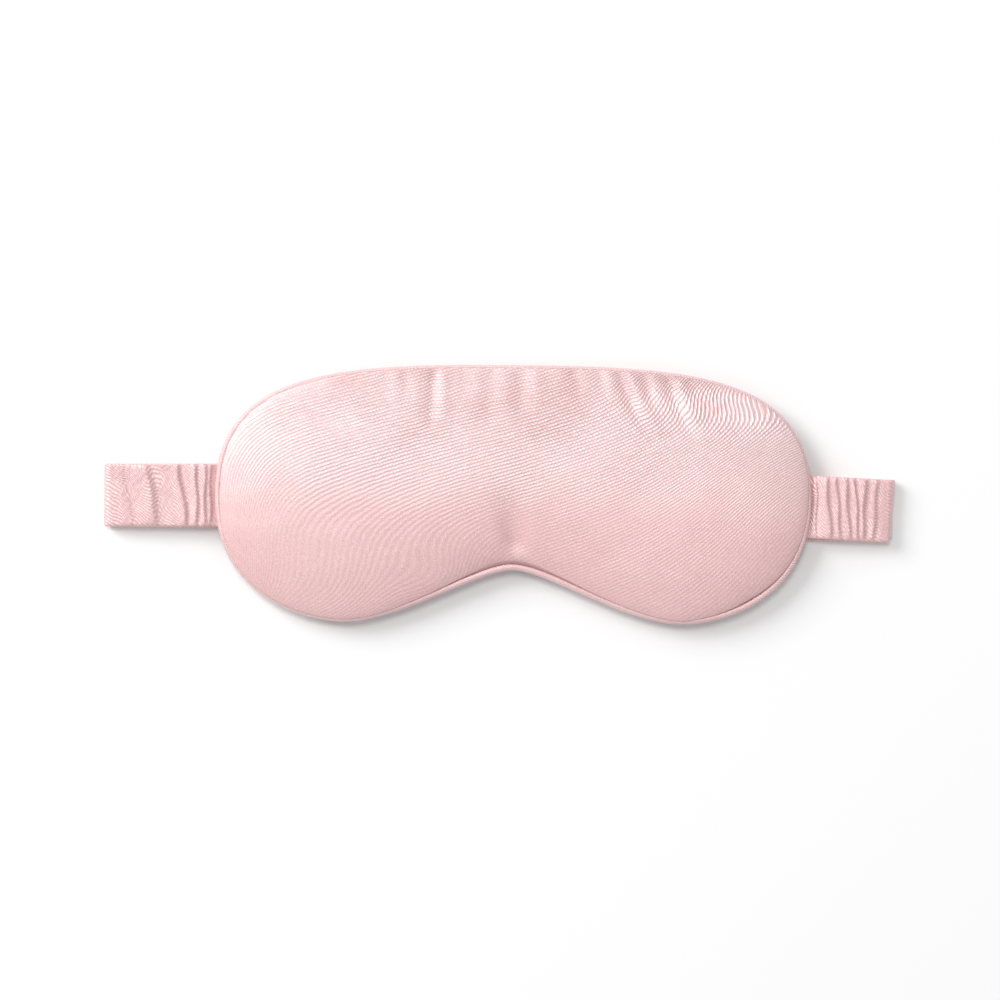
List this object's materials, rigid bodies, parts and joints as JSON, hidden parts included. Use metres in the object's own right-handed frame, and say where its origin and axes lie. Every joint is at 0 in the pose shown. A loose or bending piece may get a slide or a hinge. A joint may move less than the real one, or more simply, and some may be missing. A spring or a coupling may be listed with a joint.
{
  "type": "sleep eye mask",
  "caption": "Padded satin eye mask with a piped edge, a nose notch and a cased elastic head strap folded flat behind it.",
  "frame": {"origin": "on the surface the part lies on, under the centre of its box: midway between the two strap folds and between the forehead edge and the cheek edges", "axes": "+X across the mask to its right end as seen from the front, +Y towards the forehead edge, +Z out of the front panel, away from the face"},
  "size_m": [0.2726, 0.0904, 0.014],
  "materials": {
    "mask_satin": "soft satin sheen",
    "piping_satin": "satin cut on the bias",
    "strap_satin": "satin, softly gathered",
    "sewing_thread": "matte thread",
    "wadding": "matte fibre",
    "blackout_cloth": "matte",
    "cotton_cord": "matte",
    "woven_elastic": "matte woven"
  },
  "bodies": {
    "mask_right": {"front_panel_right": "mask_satin", "back_panel_right": "mask_satin", "wadding_right": "wadding", "blackout_liner_right": "blackout_cloth", "piping_cover_right": "piping_satin", "piping_cord_right": "cotton_cord", "seam_bartack_right": "sewing_thread"},
    "mask_left": {"front_panel_left": "mask_satin", "back_panel_left": "mask_satin", "wadding_left": "wadding", "blackout_liner_left": "blackout_cloth", "piping_cover_left": "piping_satin", "piping_cord_left": "cotton_cord", "seam_bartack_left": "sewing_thread"},
    "strap_left_stub": {"strap_casing_left_stub": "strap_satin", "strap_elastic_left_stub": "woven_elastic"},
    "strap_left_side": {"strap_casing_left_side": "strap_satin", "strap_elastic_left_side": "woven_elastic"},
    "strap_left_back": {"strap_casing_left_back": "strap_satin", "strap_elastic_left_back": "woven_elastic"},
    "strap_right_stub": {"strap_casing_right_stub": "strap_satin", "strap_elastic_right_stub": "woven_elastic"},
    "strap_right_side": {"strap_casing_right_side": "strap_satin", "strap_elastic_right_side": "woven_elastic"},
    "strap_right_back": {"strap_casing_right_back": "strap_satin", "strap_elastic_right_back": "woven_elastic"}
  },
  "joints": [
    {"name": "bridge_flex", "type": "hinge", "parent": "mask_right", "child": "mask_left", "pos_m": [0.0048, -0.0001, 0.0005], "axis": [0, -1, 0], "range_deg": [0, 80]},
    {"name": "left_seam_flex", "type": "hinge", "parent": "mask_left", "child": "strap_left_stub", "pos_m": [-0.1003, -0.0012, 0.0053], "axis": [0, -1, 0], "range_deg": [0, 35]},
    {"name": "left_fold_opening", "type": "hinge", "parent": "strap_left_stub", "child": "strap_left_side", "pos_m": [-0.1364, -0.0015, 0.00275], "axis": [0, 1, 0], "range_deg": [0, 138.7]},
    {"name": "left_strap_flex", "type": "hinge", "parent": "strap_left_side", "child": "strap_left_back", "pos_m": [-0.0658, -0.00232, 0.00275], "axis": [0, -1, 0], "range_deg": [0, 44.5]},
    {"name": "right_seam_flex", "type": "hinge", "parent": "mask_right", "child": "strap_right_stub", "pos_m": [0.1099, -0.0035, 0.0053], "axis": [0, 1, 0], "range_deg": [0, 35]},
    {"name": "right_fold_opening", "type": "hinge", "parent": "strap_right_stub", "child": "strap_right_side", "pos_m": [0.1364, -0.0048, 0.00275], "axis": [0, -1, 0], "range_deg": [0, 143]},
    {"name": "right_strap_flex", "type": "hinge", "parent": "strap_right_side", "child": "strap_right_back", "pos_m": [0.0706, -0.00398, 0.00275], "axis": [0, 1, 0], "range_deg": [0, 36]}
  ],
  "couplings": [
    {"joint": "left_seam_flex", "follows": "bridge_flex", "ratio": 0.4375},
    {"joint": "left_fold_opening", "follows": "bridge_flex", "ratio": 1.7332},
    {"joint": "left_strap_flex", "follows": "bridge_flex", "ratio": 0.5557},
    {"joint": "right_seam_flex", "follows": "bridge_flex", "ratio": 0.4375},
    {"joint": "right_fold_opening", "follows": "bridge_flex", "ratio": 1.7864},
    {"joint": "right_strap_flex", "follows": "bridge_flex", "ratio": 0.4494}
  ]
}
